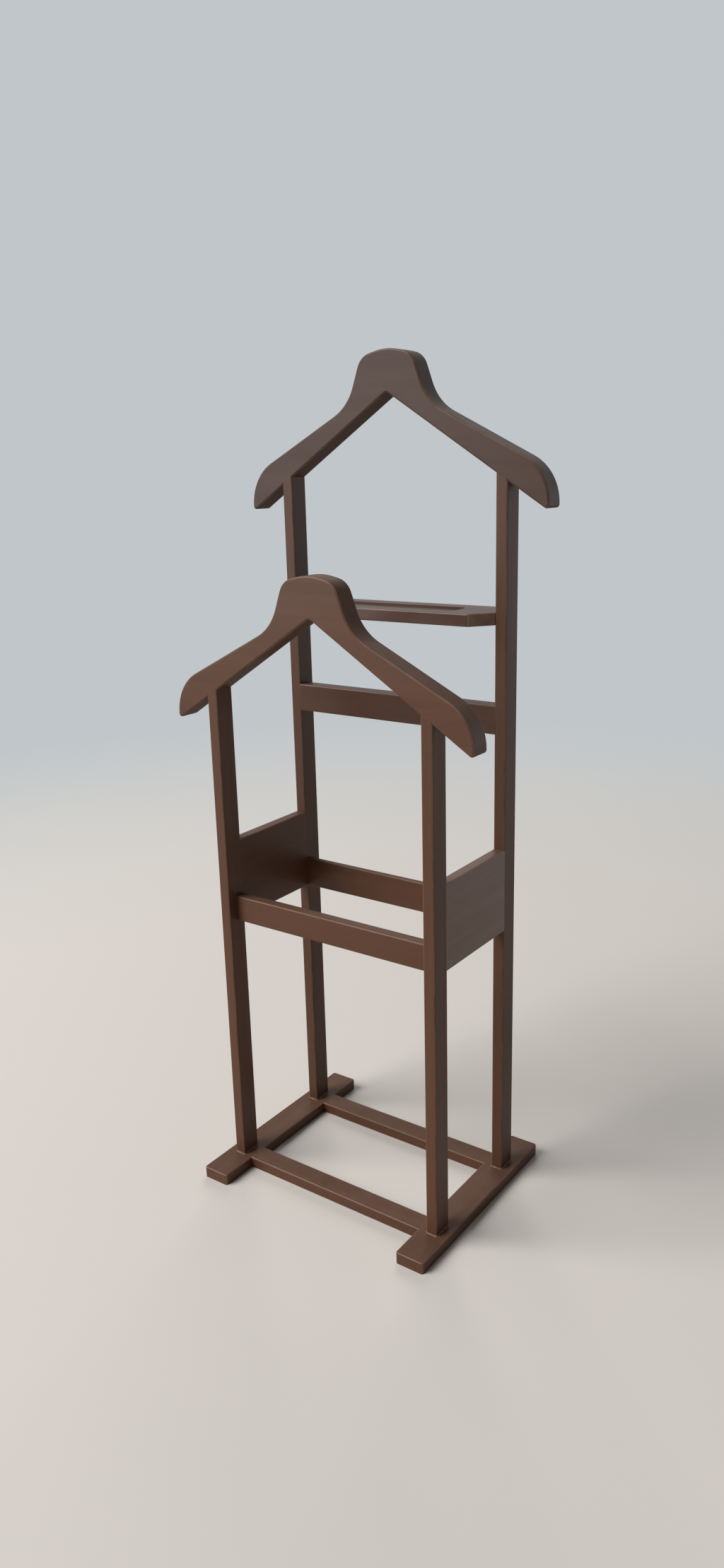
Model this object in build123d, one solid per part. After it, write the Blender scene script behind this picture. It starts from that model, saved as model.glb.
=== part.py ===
from build123d import *
from math import cos, radians, tan
import os

# A double clothes valet in stained hardwood, in millimetres.
# X runs across the stand, Y from front to back and Z up.
# The origin is on the floor under the middle of the stand.

# Stock and frame
STOCK = 16                    # thickness of every plain board
FRAME_DEPTH = 30              # front-to-back depth of uprights and shoulder boards
CLEAR_WIDTH = 314             # across, between the uprights' inner faces
FRAME_GAP = 143               # from the back of the front frame to the front of the rear one
EDGE_ROUND = 2                # arris taken off the plain boards

# Shoulder boards, measured from the peak of the underside
FRONT_CROWN_HEIGHT = 857      # floor to the top of the front board
REAR_CROWN_HEIGHT = 1120      # floor to the top of the rear board
SHOULDER_SPAN = 455
CROWN_RISE = 51               # underside peak to the top of the head
ARM_RISE = 16.3               # underside peak to where the arms' top lines would meet
UNDERSIDE_SLOPE = 32.6        # degrees below level
ARM_SLOPE = 26.8
CROWN_SLOPE = 13
FLANK_LEAN = 20               # degrees off upright, at the sides of the head
NECK_WIDTH = 120.8            # across, where the flanks meet the arms
CROWN_RADIUS = 82
HEAD_RADIUS = 24.5
NECK_RADIUS = 63
TIP_RADIUS = 4
TIP_FLAT = 1.5                # upright flat between a shoulder's curve and its tip
PEAK_RADIUS = 4
SHOULDER_ROUND = 2.5          # rounding along the boards' edges
SEAT_BLEND = 7                # height over which an upright runs into its board

# Base
RUNNER_WIDTH = 42
RUNNER_OVERHANG = 54          # runner past the uprights, front and back
RUNNER_CORNER = 4             # rounding of the runners' plan corners
BASE_RAIL_WIDTH = 30

# Side panels and cross rails, all on one lower line
LOWER_LINE = 380              # floor to the underside of panels and rails
PANEL_HEIGHT = 114
FRONT_RAIL_HEIGHT = 36
REAR_RAIL_HEIGHT = 43
REAR_RAIL_THICKNESS = 9

# Trouser bar
BAR_BOTTOM = 647              # floor to its underside
BAR_HEIGHT = 38
BAR_THICKNESS = 21

# Tray
TRAY_TOP = 802
TRAY_DEPTH = 85
TRAY_CORNER = 23.5            # the corner cut, measured across
TRAY_BEND = 6                 # rounding where the long edges meet the corner cuts
RECESS_LENGTH = 198
RECESS_WIDTH = 46
RECESS_DEPTH = 4
RECESS_RADIUS = 12
RECESS_LIP = 1

# Dowels, the same in every thick joint, and slim ones for the thin rail and the feet
DOWEL = 8
DOWEL_LENGTH = 30
SLIM_DOWEL = 5
SLIM_DOWEL_LENGTH = 24
DOWEL_SPACING = 14            # between the two dowels of a narrow joint
DOWEL_CHAMFER = 1
DOWEL_FIT = 0.1               # hole wider than dowel, all round
DOWEL_END = 0.2               # hole deeper than dowel, at each end
UPRIGHT_BITE = 11             # how far a cross dowel goes into an upright

# Screws up through the runners into the uprights
SCREW_SHANK = 4
SCREW_HEAD = 8
SCREW_HEAD_HEIGHT = 3
SCREW_LENGTH = 50
SCREW_POINT = 6
SCREW_TIP = 1
SCREW_SINK = 0.8              # head below the runner's underside
SCREW_FIT = 0.1
DRIVE_WIDTH = 1.1
DRIVE_SPAN = 4.4
DRIVE_DEPTH = 1.6

# Places worked out from the sizes above
INNER_X = CLEAR_WIDTH / 2
UPRIGHT_X = INNER_X + STOCK / 2
OUTER_X = INNER_X + STOCK
FRAME_Y = (FRAME_GAP + FRAME_DEPTH) / 2
RUNNER_X = UPRIGHT_X
RUNNER_INNER_X = RUNNER_X - RUNNER_WIDTH / 2
RUNNER_LENGTH = FRAME_GAP + 2 * FRAME_DEPTH + 2 * RUNNER_OVERHANG
FRONT_PEAK_Z = FRONT_CROWN_HEIGHT - CROWN_RISE
REAR_PEAK_Z = REAR_CROWN_HEIGHT - CROWN_RISE
SIDES = {"left": -1, "right": 1}
FRAMES = {"front": (-FRAME_Y, FRONT_PEAK_Z), "rear": (FRAME_Y, REAR_PEAK_Z)}


def cross(line_a, line_b):
    """Point where two lines meet, each a start point and a slope in degrees."""
    (xa, za), slope_a = line_a
    (xb, zb), slope_b = line_b
    ta, tb = tan(radians(slope_a)), tan(radians(slope_b))
    x = (zb - za + ta * xa - tb * xb) / (ta - tb)
    return x, za + ta * (x - xa)


def underside_z(x, peak_z):
    """Height of a shoulder board's underside at a distance x from the middle."""
    return peak_z - abs(x) * tan(radians(UNDERSIDE_SLOPE))


def board_block(length, depth, height):
    """Plain board with its four long edges, along X, eased."""
    block = Box(length, depth, height)
    return fillet(block.edges().filter_by(Axis.X), EDGE_ROUND)


def place(part, x=0.0, y=0.0, z=0.0):
    return Pos(x, y, z) * part


def dowel(diameter, length):
    """Dowel pin along Z with chamfered ends, centred on the origin."""
    pin = Cylinder(diameter / 2, length)
    return chamfer(pin.edges().filter_by(GeomType.CIRCLE), DOWEL_CHAMFER)


def dowel_hole(diameter, length):
    return Cylinder(diameter / 2 + DOWEL_FIT, length + 2 * DOWEL_END)


def along(axis, centre):
    """Location that turns something made along Z to lie along X, Y or Z."""
    turn = {"X": Rot(0, 90, 0), "Y": Rot(90, 0, 0), "Z": Rot(0, 0, 0)}[axis]
    return Pos(*centre) * turn


def drilled(part, joints):
    """The part with a dowel hole at every joint that reaches it."""
    for axis, centre, diameter, length in joints:
        part = part - along(axis, centre) * dowel_hole(diameter, length)
    return part


def pins(joints):
    """The dowels of a list of joints, one solid each."""
    return Compound([along(axis, centre) * dowel(diameter, length)
                     for axis, centre, diameter, length in joints])


# Joints: every entry is the dowel's direction, centre, diameter and length

def cross_joints(y, heights, diameter, length, spread=0.0):
    """Dowels along X from a cross piece into both uprights."""
    reach = INNER_X + UPRIGHT_BITE - length / 2
    rows = (0,) if spread == 0 else (-spread / 2, spread / 2)
    return [("X", (side * reach, y + row, z), diameter, length)
            for side in SIDES.values() for z in heights for row in rows]


def quarter_heights(bottom, height):
    return [bottom + height / 4, bottom + 3 * height / 4]


def base_joints(frame_y):
    """Dowels along X from a base rail into both runners."""
    offset = DOWEL_SPACING / 2
    return [("X", (side * RUNNER_INNER_X, frame_y + row, STOCK / 2), DOWEL, DOWEL_LENGTH)
            for side in SIDES.values() for row in (-offset, offset)]


def panel_joints(side):
    """Dowels along Y from a side panel into its two uprights, above the cross rails."""
    rails_top = LOWER_LINE + max(FRONT_RAIL_HEIGHT, REAR_RAIL_HEIGHT)
    heights = quarter_heights(rails_top, LOWER_LINE + PANEL_HEIGHT - rails_top)
    return [("Y", (side * UPRIGHT_X, end * FRAME_GAP / 2, z), DOWEL, DOWEL_LENGTH)
            for end in (-1, 1) for z in heights]


def foot_joint(side, frame_y):
    """One slim dowel from a runner up into an upright, behind the screw."""
    return [("Z", (side * UPRIGHT_X, frame_y + DOWEL_SPACING / 2, STOCK), SLIM_DOWEL, SLIM_DOWEL_LENGTH)]


def shoulder_joints(side, frame_y, peak_z):
    """Two dowels from the top of an upright into its shoulder board."""
    z = underside_z(UPRIGHT_X, peak_z)
    offset = DOWEL_SPACING / 2
    return [("Z", (side * UPRIGHT_X, frame_y + row, z), DOWEL, DOWEL_LENGTH)
            for row in (-offset, offset)]


FRONT_RAIL_Y = -FRAME_GAP / 2 - STOCK / 2
REAR_RAIL_Y = FRAME_GAP / 2 + REAR_RAIL_THICKNESS / 2
BAR_Y = FRAME_GAP / 2 + BAR_THICKNESS / 2
TRAY_Z = TRAY_TOP - STOCK / 2
FRONT_RAIL_JOINTS = cross_joints(
    FRONT_RAIL_Y, quarter_heights(LOWER_LINE, FRONT_RAIL_HEIGHT), DOWEL, DOWEL_LENGTH)
REAR_RAIL_JOINTS = cross_joints(
    REAR_RAIL_Y, quarter_heights(LOWER_LINE, REAR_RAIL_HEIGHT), SLIM_DOWEL, SLIM_DOWEL_LENGTH)
BAR_JOINTS = cross_joints(BAR_Y, quarter_heights(BAR_BOTTOM, BAR_HEIGHT), DOWEL, DOWEL_LENGTH)
TRAY_JOINTS = cross_joints(FRAME_Y, [TRAY_Z], DOWEL, DOWEL_LENGTH, DOWEL_SPACING)


# Foot screws

def screw_place(side, frame_y):
    """Where a foot screw's head starts, seen from below the runner."""
    return Pos(side * UPRIGHT_X, frame_y - DOWEL_SPACING / 2, SCREW_SINK)


def screw_body(grow=0.0):
    """Countersunk screw pointing up, or its hole when grown, with the head's face at Z 0."""
    head = Cone(SCREW_HEAD / 2 + grow, SCREW_SHANK / 2 + grow, SCREW_HEAD_HEIGHT)
    shank_length = SCREW_LENGTH - SCREW_POINT - SCREW_HEAD_HEIGHT
    shank = Cylinder(SCREW_SHANK / 2 + grow, shank_length)
    point = Cone(SCREW_SHANK / 2 + grow, SCREW_TIP / 2 + grow, SCREW_POINT)
    return (place(head, z=SCREW_HEAD_HEIGHT / 2)
            + place(shank, z=SCREW_HEAD_HEIGHT + shank_length / 2)
            + place(point, z=SCREW_LENGTH - SCREW_POINT / 2))


def screw():
    """Foot screw with a cross drive in its head."""
    drive = Box(DRIVE_SPAN, DRIVE_WIDTH, 2 * DRIVE_DEPTH) + Box(DRIVE_WIDTH, DRIVE_SPAN, 2 * DRIVE_DEPTH)
    return screw_body() - drive


def screw_hole():
    """The screw's hole, with a straight sink below the head."""
    sink = Cylinder(SCREW_HEAD / 2 + SCREW_FIT, 2 * SCREW_SINK)
    return screw_body(SCREW_FIT) + sink


# Wooden pieces

def runner(side):
    """Flat floor runner with its plan corners rounded, drilled for rails, dowels and screws."""
    body = Box(RUNNER_WIDTH, RUNNER_LENGTH, STOCK)
    body = fillet(body.edges().filter_by(Axis.Z), RUNNER_CORNER)
    body = fillet(body.faces().sort_by(Axis.Z)[-1].edges(), EDGE_ROUND)
    body = place(body, side * RUNNER_X, 0, STOCK / 2)
    for frame_y, _ in FRAMES.values():
        body = drilled(body, base_joints(frame_y) + foot_joint(side, frame_y))
        body = body - screw_place(side, frame_y) * screw_hole()
    return body


def base_rail(frame_y):
    """Flat rail between the runners, under one of the frames."""
    body = board_block(2 * RUNNER_INNER_X, BASE_RAIL_WIDTH, STOCK)
    return drilled(place(body, 0, frame_y, STOCK / 2), base_joints(frame_y))


def upright_blank(side, frame_y, top_z):
    """Square-ended upright from the runner to top_z, with eased corners."""
    height = top_z - STOCK
    blank = Box(STOCK, FRAME_DEPTH, height)
    blank = fillet(blank.edges().filter_by(Axis.Z), EDGE_ROUND)
    return place(blank, side * UPRIGHT_X, frame_y, STOCK + height / 2)


def underside_slab(side, frame_y, peak_z, height):
    """Slanting band that lies on the board's underside over one upright."""
    near, far = INNER_X - STOCK, OUTER_X + STOCK
    corners = [(near, underside_z(near, peak_z)), (far, underside_z(far, peak_z)),
               (far, underside_z(far, peak_z) + height), (near, underside_z(near, peak_z) + height)]
    face = Plane.XZ * make_face(Polyline([(side * x, z) for x, z in corners], close=True))
    return place(extrude(face, FRAME_DEPTH, both=True), y=frame_y)


def upright(side, frame_y, peak_z, joints):
    """Upright cut off along the slope of its shoulder board."""
    blank = upright_blank(side, frame_y, underside_z(INNER_X, peak_z))
    body = blank - underside_slab(side, frame_y, peak_z, FRAME_DEPTH)
    body = drilled(body, joints + foot_joint(side, frame_y) + shoulder_joints(side, frame_y, peak_z))
    return body - screw_place(side, frame_y) * screw_hole()


def side_panel(side):
    """Upright panel between the two frames, flush with the uprights inside and out."""
    body = Box(STOCK, FRAME_GAP, PANEL_HEIGHT)
    body = fillet(body.edges().filter_by(Axis.Y), EDGE_ROUND)
    body = place(body, side * UPRIGHT_X, 0, LOWER_LINE + PANEL_HEIGHT / 2)
    return drilled(body, panel_joints(side))


def front_cross_rail():
    """Rail low between the front uprights, flush with their backs."""
    body = board_block(CLEAR_WIDTH, STOCK, FRONT_RAIL_HEIGHT)
    return drilled(place(body, 0, FRONT_RAIL_Y, LOWER_LINE + FRONT_RAIL_HEIGHT / 2), FRONT_RAIL_JOINTS)


def rear_cross_rail():
    """Thinner rail low between the rear uprights, flush with their fronts."""
    body = board_block(CLEAR_WIDTH, REAR_RAIL_THICKNESS, REAR_RAIL_HEIGHT)
    return drilled(place(body, 0, REAR_RAIL_Y, LOWER_LINE + REAR_RAIL_HEIGHT / 2), REAR_RAIL_JOINTS)


def trouser_bar():
    """Heavy bar for trousers between the rear uprights, flush with their fronts."""
    body = board_block(CLEAR_WIDTH, BAR_THICKNESS, BAR_HEIGHT)
    return drilled(place(body, 0, BAR_Y, BAR_BOTTOM + BAR_HEIGHT / 2), BAR_JOINTS)


def tray():
    """Small shelf with cut corners and a shallow recess, centred on the rear uprights."""
    half_x, half_y = INNER_X, TRAY_DEPTH / 2
    corner_x, end_y = half_x - TRAY_CORNER, FRAME_DEPTH / 2
    quarter = [(half_x, end_y), (corner_x, half_y), (-corner_x, half_y), (-half_x, end_y)]
    plan = quarter + [(x, -y) for x, y in reversed(quarter)]
    body = extrude(make_face(Polyline(plan, close=True)), STOCK)
    bends = body.edges().filter_by(Axis.Z).filter_by_position(Axis.X, -corner_x, corner_x)
    body = fillet(bends, TRAY_BEND)
    rims = body.edges().filter_by(Plane.XY) - body.edges().filter_by(Axis.Y)
    body = fillet(rims, EDGE_ROUND)
    recess = extrude(RectangleRounded(RECESS_LENGTH, RECESS_WIDTH, RECESS_RADIUS), RECESS_DEPTH)
    body = body - place(recess, z=STOCK - RECESS_DEPTH)
    mouth = [edge for edge in body.edges().filter_by_position(Axis.Z, STOCK, STOCK)
             if abs(edge.center().Y) <= RECESS_WIDTH / 2 and abs(edge.center().X) <= RECESS_LENGTH / 2]
    body = fillet(mouth, RECESS_LIP)
    return drilled(place(body, 0, FRAME_Y, TRAY_TOP - STOCK), TRAY_JOINTS)


def shoulder_outline():
    """Closed outline of a shoulder board in X and Z, with its underside peak at the origin."""
    half_span = SHOULDER_SPAN / 2
    neck_x = NECK_WIDTH / 2
    crown_tip_z = CROWN_RISE + CROWN_RADIUS * (1 / cos(radians(CROWN_SLOPE)) - 1)
    neck = (neck_x, ARM_RISE - neck_x * tan(radians(ARM_SLOPE)))
    head = cross(((0, crown_tip_z), -CROWN_SLOPE), (neck, FLANK_LEAN - 90))
    shoulder = (half_span, ARM_RISE - half_span * tan(radians(ARM_SLOPE)))
    tip = (half_span, underside_z(half_span, 0))
    tip_reach = TIP_RADIUS / tan(radians(90 - UNDERSIDE_SLOPE) / 2)
    shoulder_reach = shoulder[1] - tip[1] - tip_reach - TIP_FLAT
    shoulder_radius = shoulder_reach / tan(radians(90 - ARM_SLOPE) / 2)
    right = [(head, HEAD_RADIUS), (neck, NECK_RADIUS), (shoulder, shoulder_radius), (tip, TIP_RADIUS)]
    left = [((-x, z), radius) for (x, z), radius in reversed(right)]
    corners = [((0, crown_tip_z), CROWN_RADIUS)] + right + [((0, 0), PEAK_RADIUS)] + left
    return FilletPolyline([point for point, _ in corners],
                          radius=[radius for _, radius in corners], close=True)


def shoulder_board(frame_y, peak_z):
    """Shoulder board with eased edges that run smoothly into its two uprights."""
    face = Plane.XZ * make_face(shoulder_outline())
    body = extrude(face, FRAME_DEPTH / 2, both=True)
    rims = body.faces().filter_by(Axis.Y).edges()
    body = place(fillet(rims, SHOULDER_ROUND), 0, frame_y, peak_z)
    for side in SIDES.values():
        seat = upright_blank(side, frame_y, underside_z(INNER_X, peak_z) + SEAT_BLEND)
        body = body + (seat & underside_slab(side, frame_y, peak_z, SEAT_BLEND))
    for side in SIDES.values():
        body = drilled(body, shoulder_joints(side, frame_y, peak_z))
    return body


# Assembly

def upright_joints(frame, side):
    """The joints that a frame's upright shares with panels, rails, bar and tray."""
    shared = panel_joints(side)
    if frame == "front":
        return shared + FRONT_RAIL_JOINTS
    return shared + REAR_RAIL_JOINTS + BAR_JOINTS + TRAY_JOINTS


def build():
    """Every node of the stand, by name."""
    nodes = {}
    for name, side in SIDES.items():
        nodes[f"{name}_runner"] = runner(side)
        nodes[f"{name}_side_panel"] = side_panel(side)
    for frame, (frame_y, peak_z) in FRAMES.items():
        nodes[f"{frame}_base_rail"] = base_rail(frame_y)
        nodes[f"{frame}_shoulder_board"] = shoulder_board(frame_y, peak_z)
        for name, side in SIDES.items():
            nodes[f"{frame}_{name}_upright"] = upright(side, frame_y, peak_z, upright_joints(frame, side))
        nodes[f"{frame}_shoulder_dowels"] = pins(
            [joint for side in SIDES.values() for joint in shoulder_joints(side, frame_y, peak_z)])
    nodes["front_cross_rail"] = front_cross_rail()
    nodes["rear_cross_rail"] = rear_cross_rail()
    nodes["trouser_bar"] = trouser_bar()
    nodes["tray"] = tray()
    corners = [(side, frame_y) for side in SIDES.values() for frame_y, _ in FRAMES.values()]
    nodes["base_rail_dowels"] = pins(
        [joint for frame_y, _ in FRAMES.values() for joint in base_joints(frame_y)])
    nodes["side_panel_dowels"] = pins([joint for side in SIDES.values() for joint in panel_joints(side)])
    nodes["foot_dowels"] = pins([joint for corner in corners for joint in foot_joint(*corner)])
    nodes["foot_screws"] = Compound([screw_place(*corner) * screw() for corner in corners])
    nodes["front_cross_rail_dowels"] = pins(FRONT_RAIL_JOINTS)
    nodes["rear_cross_rail_dowels"] = pins(REAR_RAIL_JOINTS)
    nodes["trouser_bar_dowels"] = pins(BAR_JOINTS)
    nodes["tray_dowels"] = pins(TRAY_JOINTS)
    return nodes


os.makedirs("parts", exist_ok=True)
for node, shape in build().items():
    export_step(shape, f"parts/{node}.step")
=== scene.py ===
from math import cos, radians, sin

import bmesh
import bpy
from mathutils import Matrix, Vector


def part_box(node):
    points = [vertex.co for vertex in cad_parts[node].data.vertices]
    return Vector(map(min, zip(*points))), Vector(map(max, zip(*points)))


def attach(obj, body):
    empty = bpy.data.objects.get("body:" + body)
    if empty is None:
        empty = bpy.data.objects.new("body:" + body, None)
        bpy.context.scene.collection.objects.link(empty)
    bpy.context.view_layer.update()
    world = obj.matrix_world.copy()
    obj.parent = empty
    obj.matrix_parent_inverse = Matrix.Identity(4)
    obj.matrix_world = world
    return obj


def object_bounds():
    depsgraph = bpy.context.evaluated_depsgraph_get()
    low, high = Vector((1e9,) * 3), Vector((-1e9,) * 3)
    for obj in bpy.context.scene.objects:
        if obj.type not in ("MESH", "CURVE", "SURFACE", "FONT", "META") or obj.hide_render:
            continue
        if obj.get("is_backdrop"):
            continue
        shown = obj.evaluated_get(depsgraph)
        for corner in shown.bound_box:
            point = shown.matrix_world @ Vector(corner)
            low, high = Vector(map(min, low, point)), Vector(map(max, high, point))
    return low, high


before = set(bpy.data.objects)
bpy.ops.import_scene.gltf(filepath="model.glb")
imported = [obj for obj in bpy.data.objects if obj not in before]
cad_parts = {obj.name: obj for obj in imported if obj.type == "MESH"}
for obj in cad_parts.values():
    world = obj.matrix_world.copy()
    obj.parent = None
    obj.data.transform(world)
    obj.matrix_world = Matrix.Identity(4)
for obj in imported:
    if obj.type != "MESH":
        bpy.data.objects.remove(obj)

bl_info = {
    "name": "Clothes Valet",
    "version": (1, 0, 0),
    "blender": (4, 5, 0),
    "location": "View3D > Sidebar > Clothes Valet",
    "description": "Gives a double clothes valet its lacquered boards and sets it on a plain floor",
    "category": "Object",
}

# The boards, by kind
RUNNERS = ["left_runner", "right_runner"]
BASE_RAILS = ["front_base_rail", "rear_base_rail"]
UPRIGHTS = ["front_left_upright", "front_right_upright", "rear_left_upright", "rear_right_upright"]
SIDE_PANELS = ["left_side_panel", "right_side_panel"]
CROSS_RAILS = ["front_cross_rail", "rear_cross_rail"]
SHOULDER_BOARDS = ["front_shoulder_board", "rear_shoulder_board"]
DOWELS = sorted(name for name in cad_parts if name.endswith("_dowels"))

MM = 0.001
IMAGE_HEIGHT = 2218  # pixels
SENSOR = 36.0  # millimetres, for the long side of the image

# Boards darkened (painted shade) or lightened (painted sheen) as a share of the usual stain, and
# boards whose gloss differs from the others'
BOARD_PAINTED_LIGHT = {
    "trouser_bar": 0.70, "tray": 0.68, "rear_shoulder_board": 0.60,
    "rear_left_upright": 0.84, "rear_right_upright": 0.84, "right_side_panel": 1.22,
}
BOARD_GLOSS = {"tray": 2.0, "rear_shoulder_board": 1.3, "right_side_panel": 4.0}

# Metres between the stretches of grain that boards are cut from, and how many there are
GRAIN_STEP = 0.37
GRAIN_STRETCHES = 29

# Turns that bring a board's grain along X
GRAIN_TURN = {"X": (0, 0, 0), "Y": (0, 0, radians(-90)), "Z": (0, radians(90), 0)}

# Grain, in noise cells per metre along it and across it, and as shares of its figure and relief
BAND_CELLS = (2.4, 46, 46)
STREAK_CELLS = (9, 310, 310)
PORE_CELLS = (55, 1900, 1900)
RIPPLE_CELLS = (120, 160, 160)
BAND_SHARE = 0.68
RIPPLE_HEIGHT = 0.35
STREAK_HEIGHT = 0.25
PORE_DEPTH = 0.5

# Noise of the other effects, in cells per metre
WEAR_AND_HIGHLIGHT_NOISE = {"Scale": 26, "Detail": 5, "Roughness": 0.62}
DUST_AND_SHEEN_NOISE = {"Scale": 38, "Detail": 6, "Roughness": 0.7}
BLOOM_NOISE = {"Scale": 900, "Detail": 4}
LUMP_NOISE = {"Scale": 420, "Detail": 4}

# How strongly pores change the stain, and how far undersides are darkened as painted shade
PORE_STAIN = (0.020, 0.010, 0.007)
PORE_SHARE = 0.22
UNDERSIDE_PAINTED_SHADE_TONE = 0.5
UNDERSIDE_PAINTED_SHADE_SHARE = 0.45
BEECH_FLECK = (0.30, 0.17, 0.09)

# What each effect adds to the lacquer's roughness
FIGURE_DULLNESS = 0.06
WORN_DULLNESS = 0.10
DUSTY_DULLNESS = 0.55
UNDERSIDE_DULLNESS = 0.5

# Colours of the light
WARM = (1.0, 0.99, 0.98)
COOL = (0.84, 0.93, 1.0)
SKY = (0.96, 0.98, 1.0)


# What a user would change


class ValetLacquer(bpy.types.PropertyGroup):
    """Stain and lacquer on the boards."""

    stain: bpy.props.FloatVectorProperty(
        name="Stain", description="Colour of the stained wood", subtype="COLOR",
        size=3, min=0, max=1, default=(0.094, 0.040, 0.021))
    deep_stain: bpy.props.FloatVectorProperty(
        name="Deep Stain", description="Colour where the wood took more stain", subtype="COLOR",
        size=3, min=0, max=1, default=(0.062, 0.026, 0.013))
    # Also the colour of the painted highlight along the edges
    worn_and_highlight_stain: bpy.props.FloatVectorProperty(
        name="Worn Stain And Highlight", description="Colour where sanding and handling thinned the stain",
        subtype="COLOR", size=3, min=0, max=1, default=(0.235, 0.140, 0.092))
    # Colour of settled dust and of the painted sheen on upward faces
    dust_and_sheen: bpy.props.FloatVectorProperty(
        name="Dust", description="Colour of the dust on upward faces", subtype="COLOR",
        size=3, min=0, max=1, default=(0.30, 0.27, 0.25))
    figure_depth: bpy.props.FloatProperty(
        name="Figure Depth", description="How far the wood's figure shows through the stain",
        subtype="FACTOR", min=0, max=1, default=0.45)
    # Also sets the painted highlight along the edges
    wear_and_highlight: bpy.props.FloatProperty(
        name="Edge Wear And Highlight", description="How far the stain is thinned along the edges",
        subtype="FACTOR", min=0, max=1, default=0.55)
    dust_and_sheen_amount: bpy.props.FloatProperty(
        name="Dust And Sheen Amount", description="How much dust lies on upward faces",
        subtype="FACTOR", min=0, max=1, default=0.07)
    # Its amount also darkens the undersides as painted shade
    dull_and_shaded_underside: bpy.props.FloatProperty(
        name="Dull And Shaded Underside", description="How far the undersides lack lacquer",
        subtype="FACTOR", min=0, max=1, default=1.0)
    roughness: bpy.props.FloatProperty(
        name="Roughness", description="Roughness of the semi-gloss lacquer",
        subtype="FACTOR", min=0, max=1, default=0.42)
    gloss: bpy.props.FloatProperty(
        name="Gloss", description="Strength of the lacquer's reflection", subtype="FACTOR",
        min=0, max=1, default=0.15)
    coat: bpy.props.FloatProperty(
        name="Top Coat", description="Weight of the clear top coat", subtype="FACTOR",
        min=0, max=1, default=0.10)
    coat_roughness: bpy.props.FloatProperty(
        name="Top Coat Roughness", description="Roughness of the clear top coat",
        subtype="FACTOR", min=0, max=1, default=0.24)
    relief: bpy.props.FloatProperty(
        name="Relief", description="Depth of the pores and ripples under the lacquer",
        subtype="DISTANCE", unit="LENGTH", min=0, max=0.001, default=0.00003, precision=6)


class ValetFittings(bpy.types.PropertyGroup):
    """Dowels, screws and the beads of lacquer at the uprights' feet."""

    beech: bpy.props.FloatVectorProperty(
        name="Beech", description="Colour of the bare dowels", subtype="COLOR",
        size=3, min=0, max=1, default=(0.56, 0.37, 0.21))
    zinc: bpy.props.FloatVectorProperty(
        name="Zinc", description="Colour of the zinc-plated screws", subtype="COLOR",
        size=3, min=0, max=1, default=(0.66, 0.63, 0.55))
    bead: bpy.props.FloatVectorProperty(
        name="Bead", description="Colour of the dried lacquer at the feet", subtype="COLOR",
        size=3, min=0, max=1, default=(0.165, 0.100, 0.070))
    bead_size: bpy.props.FloatProperty(
        name="Bead Size", description="Width and height of the bead round an upright's foot",
        subtype="DISTANCE", unit="LENGTH", min=0.0002, max=0.004, default=1.6 * MM, precision=5)
    arris: bpy.props.FloatProperty(
        name="Arris", description="Radius of the eased edges that the filled joints level",
        subtype="DISTANCE", unit="LENGTH", min=0.0002, max=0.004, default=2.0 * MM, precision=5)


class ValetStage(bpy.types.PropertyGroup):
    """Floor, lamps and camera."""

    backdrop: bpy.props.FloatVectorProperty(
        name="Backdrop", description="Colour that the floor fades into", subtype="COLOR",
        size=3, min=0, max=1, default=(0.53, 0.565, 0.585))
    floor: bpy.props.FloatVectorProperty(
        name="Floor", description="Colour of the floor", subtype="COLOR",
        size=3, min=0, max=1, default=(0.58, 0.545, 0.505))
    floor_radius: bpy.props.FloatProperty(
        name="Floor Radius", description="Radius of the floor", subtype="DISTANCE",
        unit="LENGTH", min=1, max=100, default=30)
    ambient: bpy.props.FloatProperty(
        name="Ambient", description="Strength of the even light from all round",
        min=0, max=2, default=0.11)
    key_power: bpy.props.FloatProperty(
        name="Key Power", description="Power of the high light from the front left",
        subtype="POWER", unit="POWER", min=0, max=5000, default=1080)
    window_power: bpy.props.FloatProperty(
        name="Window Power", description="Power of the low, cool light from the front left",
        subtype="POWER", unit="POWER", min=0, max=1000, default=110)
    fill_power: bpy.props.FloatProperty(
        name="Fill Power", description="Power of the low, cool light from the back right",
        subtype="POWER", unit="POWER", min=0, max=1000, default=6)
    back_power: bpy.props.FloatProperty(
        name="Back Power", description="Power of the high light from the back left",
        subtype="POWER", unit="POWER", min=0, max=2000, default=240)
    camera_place: bpy.props.FloatVectorProperty(
        name="Camera Place", description="Where the camera stands", subtype="TRANSLATION",
        unit="LENGTH", size=3, default=(0.8297, -1.1457, 0.9761))
    camera_heading: bpy.props.FloatProperty(
        name="Camera Heading", description="Turn of the view to the left of straight back",
        subtype="ANGLE", unit="ROTATION", default=radians(35.94))
    camera_dip: bpy.props.FloatProperty(
        name="Camera Dip", description="How far the view points below level",
        subtype="ANGLE", unit="ROTATION", default=radians(15.75))
    camera_roll: bpy.props.FloatProperty(
        name="Camera Roll", description="Turn of the camera about its view",
        subtype="ANGLE", unit="ROTATION", default=radians(-1.53))
    focal_pixels: bpy.props.FloatProperty(
        name="Focal Length", description="Focal length in pixels of the full image",
        min=100, max=10000, default=1576)


# Shader building


def new_group(name, inputs, outputs):
    """Shader node group with its sockets, its input node and its output node."""
    group = bpy.data.node_groups.new(name, "ShaderNodeTree")
    kinds = {"FLOAT": "NodeSocketFloat", "VECTOR": "NodeSocketVector"}
    for label, kind, default in inputs:
        socket = group.interface.new_socket(name=label, in_out="INPUT", socket_type=kinds[kind])
        socket.default_value = default
    for label in outputs:
        group.interface.new_socket(name=label, in_out="OUTPUT", socket_type=kinds["FLOAT"])
    return group, group.nodes.new("NodeGroupInput"), group.nodes.new("NodeGroupOutput")


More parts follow.
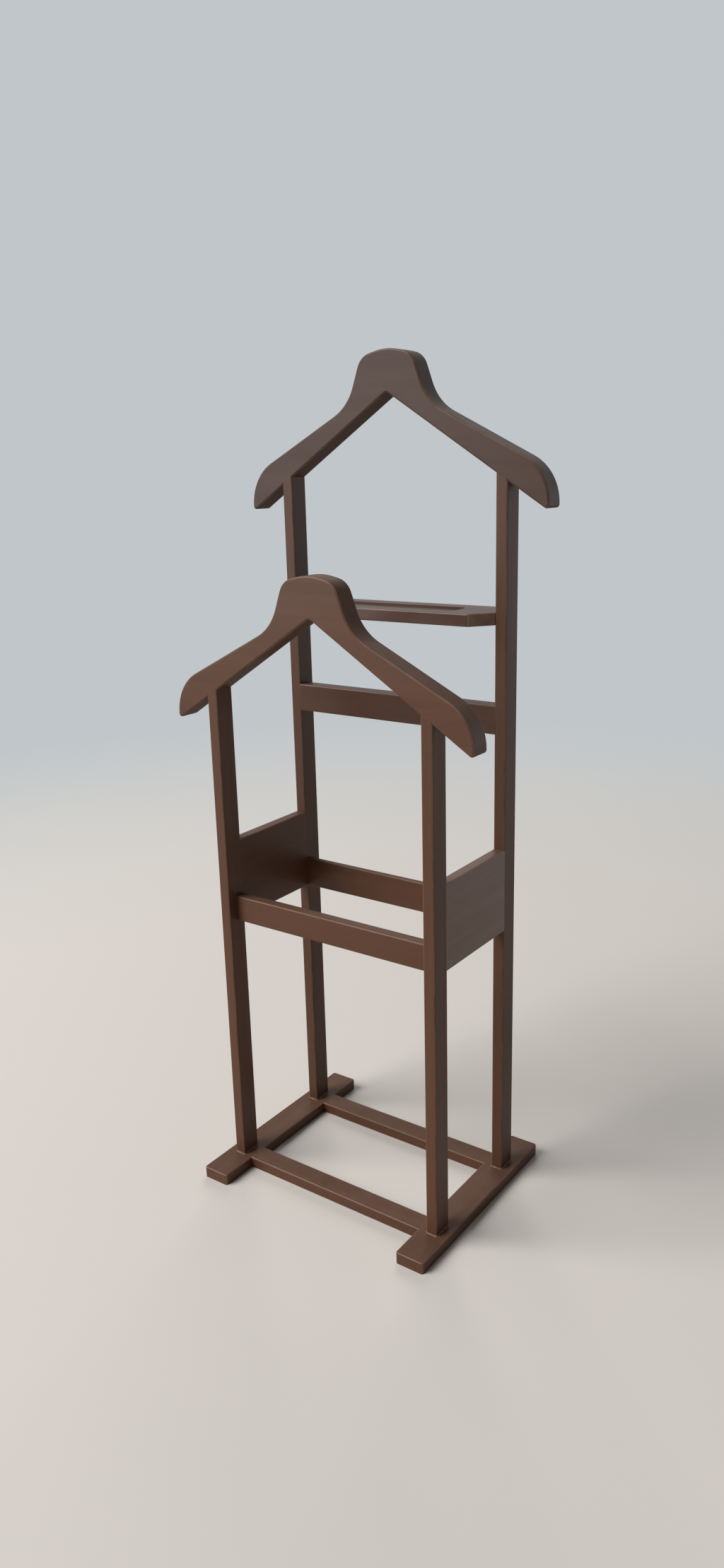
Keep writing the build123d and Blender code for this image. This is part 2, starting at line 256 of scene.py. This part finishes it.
def node(tree, kind, values=(), links=(), **settings):
    """Node of a tree with its settings, its sockets' values and its incoming links."""
    made = tree.nodes.new(kind)
    for name, value in settings.items():
        setattr(made, name, value)
    for socket, value in dict(values).items():
        made.inputs[socket].default_value = value
    for socket, source in dict(links).items():
        tree.links.new(source, made.inputs[socket])
    return made


def placed(tree, group, values, links):
    """Shared effect placed in a material, with its own values and links."""
    return node(tree, "ShaderNodeGroup", values, links, node_tree=group)


def math(tree, operation, first, second=None, clamp=False):
    """Result of a Math node. Each operand is a number or an output socket."""
    made = tree.nodes.new("ShaderNodeMath")
    made.operation = operation
    made.use_clamp = clamp
    for slot, operand in enumerate((first, second)):
        if isinstance(operand, bpy.types.NodeSocket):
            tree.links.new(operand, made.inputs[slot])
        elif operand is not None:
            made.inputs[slot].default_value = operand
    return made.outputs[0]


def plus(tree, first, second, clamp=False):
    """Sum of two numbers or sockets."""
    return math(tree, "ADD", first, second, clamp)


def minus(tree, first, second):
    """Difference of two numbers or sockets."""
    return math(tree, "SUBTRACT", first, second)


def times(tree, first, second, clamp=False):
    """Product of two numbers or sockets."""
    return math(tree, "MULTIPLY", first, second, clamp)


def stretched_noise(tree, vector, cells, detail, distortion=0.0):
    """Noise with its own number of cells per metre along each axis."""
    scaled = node(tree, "ShaderNodeVectorMath", {1: cells}, {0: vector}, operation="MULTIPLY")
    noise = node(
        tree, "ShaderNodeTexNoise", {"Scale": 1.0, "Detail": detail, "Distortion": distortion},
        {"Vector": scaled.outputs[0]})
    return noise.outputs["Fac"]


def noise_mask(tree, vector, values, low, high, to_low=0.0, to_high=1.0):
    """Mask from even noise, and the noise itself."""
    noise = node(tree, "ShaderNodeTexNoise", values, {"Vector": vector}).outputs["Fac"]
    return ramp(tree, noise, low, high, to_low, to_high), noise


def ramp(tree, value, low, high, to_low=0.0, to_high=1.0):
    """Value mapped from one range to another, held at its ends."""
    made = node(
        tree, "ShaderNodeMapRange",
        {"From Min": low, "From Max": high, "To Min": to_low, "To Max": to_high},
        {"Value": value}, clamp=True, interpolation_type="SMOOTHSTEP")
    return made.outputs[0]


def mixed(tree, factor, first, second):
    """Colour between two colours or sockets, by a factor's output socket."""
    made = node(tree, "ShaderNodeMix", {}, {"Factor": factor}, data_type="RGBA")
    for slot, colour in (("A", first), ("B", second)):
        socket = [s for s in made.inputs if s.name == slot and s.type == "RGBA"][0]
        if isinstance(colour, bpy.types.NodeSocket):
            tree.links.new(colour, socket)
        else:
            socket.default_value = (*colour, 1)
    return [s for s in made.outputs if s.type == "RGBA"][0]


def toned(colour, share):
    """Darker or lighter tone of a colour."""
    return [share * part for part in colour]


def upward(tree, start):
    """How far a group's normal looks up, from -1 to 1."""
    return node(tree, "ShaderNodeSeparateXYZ", {}, {0: start.outputs["Normal"]}).outputs["Z"]


def grain_group():
    """Figure, streaks and pores of a straight-grained board whose grain runs along X."""
    if "Board Grain" in bpy.data.node_groups:
        return bpy.data.node_groups["Board Grain"]
    tree, start, end = new_group(
        "Board Grain", [("Vector", "VECTOR", (0, 0, 0))], ["Figure", "Pores", "Relief"])
    vector = start.outputs["Vector"]
    bands = stretched_noise(tree, vector, BAND_CELLS, detail=3, distortion=0.7)
    streaks = stretched_noise(tree, vector, STREAK_CELLS, detail=4, distortion=0.25)
    pores = stretched_noise(tree, vector, PORE_CELLS, detail=2)
    ripple = stretched_noise(tree, vector, RIPPLE_CELLS, detail=2)
    figure = plus(tree, times(tree, ramp(tree, bands, 0.32, 0.68), BAND_SHARE),
                  times(tree, ramp(tree, streaks, 0.36, 0.66), 1 - BAND_SHARE))
    pore_mask = ramp(tree, pores, 0.60, 0.70)
    relief = minus(tree, times(tree, ripple, RIPPLE_HEIGHT), times(tree, pore_mask, PORE_DEPTH))
    relief = plus(tree, relief, times(tree, streaks, STREAK_HEIGHT))
    for label, source in (("Figure", figure), ("Pores", pore_mask), ("Relief", relief)):
        tree.links.new(source, end.inputs[label])
    return tree


def arris_wear_and_highlight_group():
    """Wear and painted highlight along rounded edges: of a square board at Profile 0, of one cut
    across Y at 1.
    """
    if "Arris Wear And Painted Highlight" in bpy.data.node_groups:
        return bpy.data.node_groups["Arris Wear And Painted Highlight"]
    tree, start, end = new_group(
        "Arris Wear And Painted Highlight",
        [("Vector", "VECTOR", (0, 0, 0)), ("Normal", "VECTOR", (0, 0, 1)),
         ("Profile", "FLOAT", 0.0), ("Amount", "FLOAT", 0.5)],
        ["Mask"])
    size = node(tree, "ShaderNodeVectorMath", {}, {0: start.outputs["Normal"]},
                operation="ABSOLUTE")
    x, y, z = node(tree, "ShaderNodeSeparateXYZ", {}, {0: size.outputs[0]}).outputs
    squareness = math(tree, "MAXIMUM", math(tree, "MAXIMUM", x, y), z)
    board_edge = ramp(tree, squareness, 0.985, 0.84)
    from_rim = math(tree, "ABSOLUTE", minus(tree, y, 0.55))
    profile_edge = ramp(tree, from_rim, 0.42, 0.12)
    profile = start.outputs["Profile"]
    edge = plus(tree, times(tree, board_edge, minus(tree, 1.0, profile)),
                times(tree, profile_edge, profile))
    patches, _ = noise_mask(tree, start.outputs["Vector"], WEAR_AND_HIGHLIGHT_NOISE, 0.34, 0.62, 0.35, 1.0)
    mask = times(tree, times(tree, edge, patches), start.outputs["Amount"])
    tree.links.new(mask, end.inputs["Mask"])
    return tree


def dust_and_sheen_group():
    """Fine dust that settles on faces that look up, and the grey painted sheen of those faces."""
    if "Settled Dust And Painted Sheen" in bpy.data.node_groups:
        return bpy.data.node_groups["Settled Dust And Painted Sheen"]
    tree, start, end = new_group(
        "Settled Dust And Painted Sheen",
        [("Vector", "VECTOR", (0, 0, 0)), ("Normal", "VECTOR", (0, 0, 1)),
         ("Amount", "FLOAT", 0.2)],
        ["Mask"])
    cloud, _ = noise_mask(tree, start.outputs["Vector"], DUST_AND_SHEEN_NOISE, 0.3, 0.7, 0.4, 1.0)
    lying = times(tree, ramp(tree, upward(tree, start), 0.35, 0.95), cloud)
    tree.links.new(times(tree, lying, start.outputs["Amount"]), end.inputs["Mask"])
    return tree


def underside_group():
    """Mask of undersides, which take less lacquer and stay duller, and which are also darkened as
    painted shade.
    """
    if "Underside Dullness And Painted Shade" in bpy.data.node_groups:
        return bpy.data.node_groups["Underside Dullness And Painted Shade"]
    tree, start, end = new_group(
        "Underside Dullness And Painted Shade", [("Normal", "VECTOR", (0, 0, 1)), ("Amount", "FLOAT", 1.0)], ["Mask"])
    facing = ramp(tree, times(tree, upward(tree, start), -1.0), 0.15, 0.75)
    tree.links.new(times(tree, facing, start.outputs["Amount"]), end.inputs["Mask"])
    return tree


def new_material(name):
    """Empty node material, its tree and its shader."""
    material = bpy.data.materials.new(name)
    material.use_nodes = True
    tree = material.node_tree
    return material, tree, tree.nodes["Principled BSDF"]


def bump(tree, shader, height, strength, distance):
    """Fine relief on a material."""
    made = node(tree, "ShaderNodeBump", {"Strength": strength, "Distance": distance},
                {"Height": height})
    tree.links.new(made.outputs[0], shader.inputs["Normal"])


def lacquered_wood(name, grain, profile=0.0):
    """Dark stained, lacquered wood. Each board has its own stretch of grain, set by its name."""
    look = bpy.context.scene.valet_lacquer
    material, tree, shader = new_material(f"{name}_lacquer")
    shift = [GRAIN_STEP * (1 + sum(map(ord, name[i::3])) % GRAIN_STRETCHES) for i in range(3)]
    place = node(tree, "ShaderNodeTexCoord")
    mapping = node(tree, "ShaderNodeMapping", {"Location": shift, "Rotation": GRAIN_TURN[grain]},
                   {"Vector": place.outputs["Object"]})
    along = {"Vector": mapping.outputs[0]}
    facing = {"Normal": place.outputs["Normal"]}
    wood = placed(tree, grain_group(), {}, along)
    figure = wood.outputs["Figure"]
    wear_and_highlight = placed(tree, arris_wear_and_highlight_group(), {"Profile": profile, "Amount": look.wear_and_highlight},
                  {**along, **facing}).outputs["Mask"]
    dust_and_sheen = placed(tree, dust_and_sheen_group(), {"Amount": look.dust_and_sheen_amount},
                  {**along, **facing}).outputs["Mask"]
    below = placed(tree, underside_group(), {"Amount": look.dull_and_shaded_underside},
                   facing).outputs["Mask"]

    # Painted shade below 1 and painted sheen above 1, multiplying this board's stain
    shade = BOARD_PAINTED_LIGHT.get(name, 1.0)
    colour = mixed(tree, times(tree, figure, look.figure_depth), toned(look.stain, shade),
                   toned(look.deep_stain, shade))
    colour = mixed(tree, times(tree, wood.outputs["Pores"], PORE_SHARE), colour, PORE_STAIN)
    # Undersides darkened towards the deep stain: painted shade
    colour = mixed(tree, times(tree, below, UNDERSIDE_PAINTED_SHADE_SHARE), colour,
                   toned(look.deep_stain, UNDERSIDE_PAINTED_SHADE_TONE))
    # Edges lightened: real edge wear and painted highlight
    colour = mixed(tree, wear_and_highlight, colour, look.worn_and_highlight_stain)
    # Upward faces greyed: settled dust and painted sheen
    colour = mixed(tree, dust_and_sheen, colour, look.dust_and_sheen)
    tree.links.new(colour, shader.inputs["Base Color"])

    duller = plus(tree, times(tree, wear_and_highlight, WORN_DULLNESS), times(tree, dust_and_sheen, DUSTY_DULLNESS))
    duller = plus(tree, duller, times(tree, below, UNDERSIDE_DULLNESS))
    satin = plus(tree, times(tree, figure, FIGURE_DULLNESS),
                 look.roughness - FIGURE_DULLNESS / 2)
    tree.links.new(plus(tree, satin, duller, clamp=True), shader.inputs["Roughness"])
    whole = minus(tree, 1.0, plus(tree, wear_and_highlight, dust_and_sheen))
    tree.links.new(times(tree, whole, look.coat, clamp=True), shader.inputs["Coat Weight"])
    shader.inputs["Coat Roughness"].default_value = look.coat_roughness
    shader.inputs["Specular IOR Level"].default_value = look.gloss * BOARD_GLOSS.get(name, 1.0)
    bump(tree, shader, wood.outputs["Relief"], strength=0.6, distance=look.relief)
    return material


def bare_beech():
    """Bare turned beech, with fine flecks."""
    look = bpy.context.scene.valet_fittings
    material, tree, shader = new_material("bare_beech")
    place = node(tree, "ShaderNodeTexCoord")
    wood = placed(tree, grain_group(), {}, {"Vector": place.outputs["Object"]})
    figure = wood.outputs["Figure"]
    colour = mixed(tree, times(tree, figure, 0.6), look.beech, toned(look.beech, 0.72))
    colour = mixed(tree, times(tree, wood.outputs["Pores"], 0.5), colour, BEECH_FLECK)
    tree.links.new(colour, shader.inputs["Base Color"])
    tree.links.new(plus(tree, times(tree, figure, 0.1), 0.58), shader.inputs["Roughness"])
    bump(tree, shader, wood.outputs["Relief"], strength=0.5, distance=0.1 * MM)
    return material


def zinc_plate():
    """Zinc-plated steel with a mottled bloom."""
    look = bpy.context.scene.valet_fittings
    material, tree, shader = new_material("zinc_plate")
    place = node(tree, "ShaderNodeTexCoord")
    bloom, _ = noise_mask(tree, place.outputs["Object"], BLOOM_NOISE, 0.35, 0.7)
    tree.links.new(mixed(tree, bloom, look.zinc, toned(look.zinc, 0.7)),
                   shader.inputs["Base Color"])
    tree.links.new(plus(tree, times(tree, bloom, 0.2), 0.28), shader.inputs["Roughness"])
    shader.inputs["Metallic"].default_value = 1.0
    return material


def bead_lacquer():
    """Dried lacquer and filler in the corner at an upright's foot."""
    look = bpy.context.scene.valet_fittings
    boards = bpy.context.scene.valet_lacquer
    material, tree, shader = new_material("foot_bead_lacquer")
    place = node(tree, "ShaderNodeTexCoord")
    stained, lumps = noise_mask(tree, place.outputs["Object"], LUMP_NOISE, 0.4, 0.62)
    tree.links.new(mixed(tree, stained, look.bead, boards.stain), shader.inputs["Base Color"])
    tree.links.new(plus(tree, times(tree, stained, 0.12), 0.42), shader.inputs["Roughness"])
    shader.inputs["Specular IOR Level"].default_value = boards.gloss
    bump(tree, shader, lumps, strength=0.4, distance=0.1 * MM)
    return material


def coat_board(name, grain, profile=0.0):
    """Puts lacquered wood on one of the boards."""
    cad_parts[name].material_slots[0].material = lacquered_wood(name, grain, profile)


# Modelling helpers


def pick_edges(thing, wanted):
    """In edit mode, selects just the edges for which a test holds."""
    mesh = bmesh.from_edit_mesh(thing.data)
    bpy.ops.mesh.select_all(action="DESELECT")
    for edge in mesh.edges:
        if wanted(edge):
            edge.select_set(True)
    mesh.select_flush_mode()
    bmesh.update_edit_mesh(thing.data)


def pick_verts(thing, wanted):
    """In edit mode, selects just the vertices for which a test holds."""
    mesh = bmesh.from_edit_mesh(thing.data)
    bpy.ops.mesh.select_all(action="DESELECT")
    for vert in mesh.verts:
        vert.select_set(wanted(vert))
    mesh.select_flush_mode()
    bmesh.update_edit_mesh(thing.data)


# Operators


class VALET_OT_coat_runners(bpy.types.Operator):
    """Lacquer the two flat runners"""

    bl_idname = "valet.coat_runners"
    bl_label = "Coat Runners"

    def execute(self, context):
        for name in RUNNERS:
            coat_board(name, "Y")
        return {"FINISHED"}


class VALET_OT_coat_base_rails(bpy.types.Operator):
    """Lacquer the rails between the runners"""

    bl_idname = "valet.coat_base_rails"
    bl_label = "Coat Base Rails"

    def execute(self, context):
        for name in BASE_RAILS:
            coat_board(name, "X")
        return {"FINISHED"}


class VALET_OT_coat_uprights(bpy.types.Operator):
    """Lacquer the four uprights"""

    bl_idname = "valet.coat_uprights"
    bl_label = "Coat Uprights"

    def execute(self, context):
        for name in UPRIGHTS:
            coat_board(name, "Z")
        return {"FINISHED"}


class VALET_OT_coat_side_panels(bpy.types.Operator):
    """Lacquer the panels between the frames"""

    bl_idname = "valet.coat_side_panels"
    bl_label = "Coat Side Panels"

    def execute(self, context):
        for name in SIDE_PANELS:
            coat_board(name, "Y")
        return {"FINISHED"}


class VALET_OT_coat_cross_rails(bpy.types.Operator):
    """Lacquer the low cross rails"""

    bl_idname = "valet.coat_cross_rails"
    bl_label = "Coat Cross Rails"

    def execute(self, context):
        for name in CROSS_RAILS:
            coat_board(name, "X")
        return {"FINISHED"}


class VALET_OT_coat_trouser_bar(bpy.types.Operator):
    """Lacquer the trouser bar"""

    bl_idname = "valet.coat_trouser_bar"
    bl_label = "Coat Trouser Bar"

    def execute(self, context):
        coat_board("trouser_bar", "X")
        return {"FINISHED"}


class VALET_OT_coat_tray(bpy.types.Operator):
    """Lacquer the tray"""

    bl_idname = "valet.coat_tray"
    bl_label = "Coat Tray"

    def execute(self, context):
        coat_board("tray", "X")
        return {"FINISHED"}


class VALET_OT_coat_shoulder_boards(bpy.types.Operator):
    """Lacquer the two shoulder boards"""

    bl_idname = "valet.coat_shoulder_boards"
    bl_label = "Coat Shoulder Boards"

    def execute(self, context):
        for name in SHOULDER_BOARDS:
            coat_board(name, "X", profile=1.0)
        return {"FINISHED"}


class VALET_OT_finish_fittings(bpy.types.Operator):
    """Give the dowels bare beech and the foot screws zinc"""

    bl_idname = "valet.finish_fittings"
    bl_label = "Finish Dowels and Screws"

    def execute(self, context):
        beech = bare_beech()
        for name in DOWELS:
            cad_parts[name].material_slots[0].material = beech
        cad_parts["foot_screws"].material_slots[0].material = zinc_plate()
        return {"FINISHED"}


class VALET_OT_add_foot_beads(bpy.types.Operator):
    """Model the thin bead of dried lacquer round each upright's foot"""

    bl_idname = "valet.add_foot_beads"
    bl_label = "Add Foot Beads"

    def execute(self, context):
        sizes = context.scene.valet_fittings
        lacquer = bead_lacquer()
        for seed, name in enumerate(UPRIGHTS):
            low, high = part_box(name)
            bead = foot_bead(f"{name}_foot_bead", low, high, sizes.bead_size, sizes.arris, seed)
            bead.data.materials.append(lacquer)
            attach(bead, "root")
        return {"FINISHED"}


def foot_bead(name, low, high, size, corner, seed):
    """Hollow-faced bead in the corner between a runner and an upright's foot."""
    skirt, dip = 0.6 * size, 0.25 * size
    bpy.ops.object.select_all(action="DESELECT")
    bpy.ops.mesh.primitive_plane_add(
        size=1, location=((low.x + high.x) / 2, (low.y + high.y) / 2, low.z))
    bead = bpy.context.object
    bead.name = bead.data.name = name
    bead.scale = (high.x - low.x + 2 * size, high.y - low.y + 2 * size, 1)
    bpy.ops.object.transform_apply(location=True, rotation=True, scale=True)
    bpy.ops.object.mode_set(mode="EDIT")
    bpy.ops.mesh.select_mode(type="VERT")
    bpy.ops.mesh.select_all(action="SELECT")
    bpy.ops.mesh.bevel(affect="VERTICES", offset=corner + size, segments=4)
    bpy.ops.mesh.select_mode(type="EDGE")
    pick_edges(bead, lambda edge: edge.calc_length() > 4 * size)
    bpy.ops.mesh.subdivide(number_cuts=7)
    bpy.ops.mesh.select_mode(type="FACE")
    bpy.ops.mesh.select_all(action="SELECT")
    bpy.ops.mesh.inset(thickness=skirt, depth=dip)
    bpy.ops.mesh.inset(thickness=size - skirt, depth=size - dip)
    bpy.ops.mesh.extrude_region_move(TRANSFORM_OT_translate={"value": (0, 0, -size)})
    bpy.ops.mesh.delete(type="ONLY_FACE")
    bpy.ops.mesh.select_mode(type="EDGE")
    pick_edges(bead, lambda edge: edge.is_boundary)
    bpy.ops.mesh.bridge_edge_loops(interpolation="LINEAR")
    bpy.ops.mesh.select_mode(type="VERT")
    pick_verts(bead, lambda vert: abs(vert.co.z - low.z - dip) < 0.1 * size)
    bpy.ops.transform.vertex_random(offset=0.08 * size, seed=seed)
    bpy.ops.mesh.select_all(action="SELECT")
    bpy.ops.mesh.normals_make_consistent(inside=False)
    bpy.ops.object.mode_set(mode="OBJECT")
    bpy.ops.object.shade_smooth_by_angle(angle=radians(50))
    return bead


class VALET_OT_fill_joints(bpy.types.Operator):
    """Model the filler that levels the joints of panels, trouser bar and base rails"""

    bl_idname = "valet.fill_joints"
    bl_label = "Fill Joints"

    def execute(self, context):
        r = context.scene.valet_fittings.arris
        for name in SIDE_PANELS:
            low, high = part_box(name)
            left, right = ("outer", "inner") if name.startswith("left") else ("inner", "outer")
            for across, x, side in ((left, low.x, -1), (right, high.x - r, 1)):
                for end, y in (("front", low.y - r), ("rear", high.y)):
                    filler(f"{name}_{end}_{across}_joint", name, (x, y, low.z),
                           (x + r, y + r, high.z), "X", side, r)
        low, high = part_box("trouser_bar")
        for end, x in (("left", low.x - r), ("right", high.x)):
            filler(f"trouser_bar_{end}_joint", "trouser_bar", (x, low.y, low.z),
                   (x + r, low.y + r, high.z), "Y", -1, r)
        for name in BASE_RAILS:
            low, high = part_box(name)
            for end, x in (("left", low.x - r), ("right", high.x)):
                filler(f"{name}_{end}_joint", name, (x, low.y, high.z - r),
                       (x + r, high.y, high.z), "Z", 1, r)
        return {"FINISHED"}


def filler(name, beside, low, high, face, side, radius):
    """Strip that levels an eased arris beside a board's end, and ends as that board's edges do."""
    low, high = Vector(low), Vector(high)
    axis = "XYZ".index(face)
    size = high - low
    along = max(range(3), key=lambda i: size[i])
    outer = (high if side > 0 else low)[axis]
    bpy.ops.object.select_all(action="DESELECT")
    bpy.ops.mesh.primitive_cube_add(size=1, location=(low + high) / 2)
    strip = bpy.context.object
    strip.name = strip.data.name = name
    strip.scale = size
    bpy.ops.object.transform_apply(location=True, rotation=True, scale=True)
    bpy.ops.object.mode_set(mode="EDIT")
    bpy.ops.mesh.select_mode(type="EDGE")
    near = 0.01 * radius
    pick_edges(strip, lambda edge: all(abs(v.co[axis] - outer) < near for v in edge.verts)
               and abs(edge.verts[0].co[along] - edge.verts[1].co[along]) < near)
    # a little under the strip's own thickness, so that no face vanishes
    bpy.ops.mesh.bevel(affect="EDGES", offset=0.98 * radius, segments=5)
    bpy.ops.object.mode_set(mode="OBJECT")
    bpy.ops.object.shade_smooth_by_angle(angle=radians(40))
    strip.data.materials.append(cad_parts[beside].material_slots[0].material)
    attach(strip, "root")
    return strip


class VALET_OT_set_stage(bpy.types.Operator):
    """Set the floor, the lamps, the sky and the camera"""

    bl_idname = "valet.set_stage"
    bl_label = "Set Stage"

    def execute(self, context):
        stage = context.scene.valet_stage
        lay_floor(stage)
        light_world(context.scene, stage)
        hang_lamp("key_lamp", stage.key_power, size=6.0, place=(-4.2, -5.3, 7.0), colour=WARM)
        hang_lamp("window_lamp", stage.window_power, size=3.0, place=(-3.6, -4.6, 1.5), colour=COOL)
        hang_lamp("back_lamp", stage.back_power, size=4.0, place=(-3.2, 5.6, 4.0), colour=WARM,
                  mirrored=False)
        hang_lamp("fill_lamp", stage.fill_power, size=1.8, place=(2.4, 2.7, 1.0), colour=COOL)
        context.scene.camera = stand_camera(stage)
        context.scene.view_settings.view_transform = "Standard"
        return {"FINISHED"}


def lay_floor(stage):
    """Round floor that fades into the backdrop's colour away from the object."""
    bpy.ops.object.select_all(action="DESELECT")
    bpy.ops.mesh.primitive_circle_add(vertices=96, radius=stage.floor_radius, fill_type="NGON")
    floor = bpy.context.object
    floor.name = "floor"
    material, tree, shader = new_material("pale_floor")
    shader.inputs["Base Color"].default_value = (*stage.floor, 1)
    shader.inputs["Roughness"].default_value = 0.75
    place = node(tree, "ShaderNodeTexCoord")
    reach = node(tree, "ShaderNodeVectorMath", {}, {0: place.outputs["Object"]},
                 operation="LENGTH")
    far = ramp(tree, reach.outputs["Value"], low=0.9, high=3.2)
    glow = node(tree, "ShaderNodeEmission", {"Color": (*stage.backdrop, 1)})
    fade = node(tree, "ShaderNodeMixShader", {}, {0: far, 1: shader.outputs[0], 2: glow.outputs[0]})
    tree.links.new(fade.outputs[0], tree.nodes["Material Output"].inputs["Surface"])
    floor.data.materials.append(material)
    floor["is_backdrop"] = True


def light_world(scene, stage):
    """Even light all round, which the camera and reflections see as the backdrop."""
    world = scene.world or bpy.data.worlds.new("studio")
    scene.world = world
    world.use_nodes = True
    tree = world.node_tree
    sky = tree.nodes["Background"]
    sky.inputs["Color"].default_value = (*SKY, 1)
    sky.inputs["Strength"].default_value = stage.ambient
    seen = node(tree, "ShaderNodeBackground", {"Color": (*stage.backdrop, 1), "Strength": 1.0})
    path = node(tree, "ShaderNodeLightPath")
    direct = math(tree, "MAXIMUM", path.outputs["Is Camera Ray"], path.outputs["Is Glossy Ray"])
    direct = math(tree, "MAXIMUM", direct, path.outputs["Is Transmission Ray"])
    both = node(tree, "ShaderNodeMixShader", {}, {0: direct, 1: sky.outputs[0], 2: seen.outputs[0]})
    tree.links.new(both.outputs[0], tree.nodes["World Output"].inputs["Surface"])


def hang_lamp(name, power, size, place, colour, mirrored=True):
    """Soft square lamp aimed at the object's middle, without a highlight unless mirrored."""
    low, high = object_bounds()
    lamp = bpy.data.lights.new(name, "AREA")
    lamp.energy, lamp.size, lamp.color = power, size, colour
    holder = bpy.data.objects.new(name, lamp)
    holder.visible_camera = False
    holder.visible_glossy = mirrored
    holder.location = place
    towards = (low + high) / 2 - Vector(place)
    holder.rotation_euler = towards.to_track_quat("-Z", "Y").to_euler()
    bpy.context.scene.collection.objects.link(holder)


def stand_camera(stage):
    """Camera at the photograph's place and angle."""
    camera = bpy.data.cameras.new("view")
    camera.sensor_width = SENSOR
    camera.lens = stage.focal_pixels / IMAGE_HEIGHT * SENSOR
    camera.clip_start, camera.clip_end = 0.01, 200
    a, e, r = stage.camera_heading, stage.camera_dip, stage.camera_roll
    ahead = Vector((-sin(a) * cos(e), cos(a) * cos(e), -sin(e)))
    level = Vector((cos(a), sin(a), 0))
    upright = level.cross(ahead)
    across = level * cos(r) + upright * sin(r)
    above = upright * cos(r) - level * sin(r)
    turn = Matrix((across, above, -ahead)).transposed().to_4x4()
    holder = bpy.data.objects.new("view", camera)
    holder.matrix_world = Matrix.Translation(stage.camera_place) @ turn
    bpy.context.scene.collection.objects.link(holder)
    return holder


class VALET_PT_sidebar(bpy.types.Panel):
    """Lists what makes up the valet."""

    bl_label = "Clothes Valet"
    bl_space_type = "VIEW_3D"
    bl_region_type = "UI"
    bl_category = "Clothes Valet"

    def draw(self, context):
        for title, settings in (("Lacquer", context.scene.valet_lacquer),
                                ("Fittings", context.scene.valet_fittings),
                                ("Stage", context.scene.valet_stage)):
            box = self.layout.box()
            box.label(text=title)
            for name in settings.__annotations__:
                box.prop(settings, name)
        for operator in OPERATORS:
            self.layout.operator(operator.bl_idname)


SETTINGS = {
    "valet_lacquer": ValetLacquer, "valet_fittings": ValetFittings, "valet_stage": ValetStage,
}
OPERATORS = [
    VALET_OT_set_stage, VALET_OT_coat_runners, VALET_OT_coat_base_rails, VALET_OT_coat_uprights,
    VALET_OT_coat_side_panels, VALET_OT_coat_cross_rails, VALET_OT_coat_trouser_bar,
    VALET_OT_coat_tray, VALET_OT_coat_shoulder_boards, VALET_OT_finish_fittings,
    VALET_OT_add_foot_beads, VALET_OT_fill_joints,
]
CLASSES = [*SETTINGS.values(), *OPERATORS, VALET_PT_sidebar]


def register():
    for made in CLASSES:
        bpy.utils.register_class(made)
    for name, kind in SETTINGS.items():
        setattr(bpy.types.Scene, name, bpy.props.PointerProperty(type=kind))


def unregister():
    for name in SETTINGS:
        delattr(bpy.types.Scene, name)
    for made in reversed(CLASSES):
        bpy.utils.unregister_class(made)


def run(operator):
    """Calls an operator by its name."""
    group, name = operator.bl_idname.split(".")
    getattr(getattr(bpy.ops, group), name)()


def main():
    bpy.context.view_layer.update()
    register()
    for operator in OPERATORS:
        run(operator)


if __name__ == "__main__":
    main()
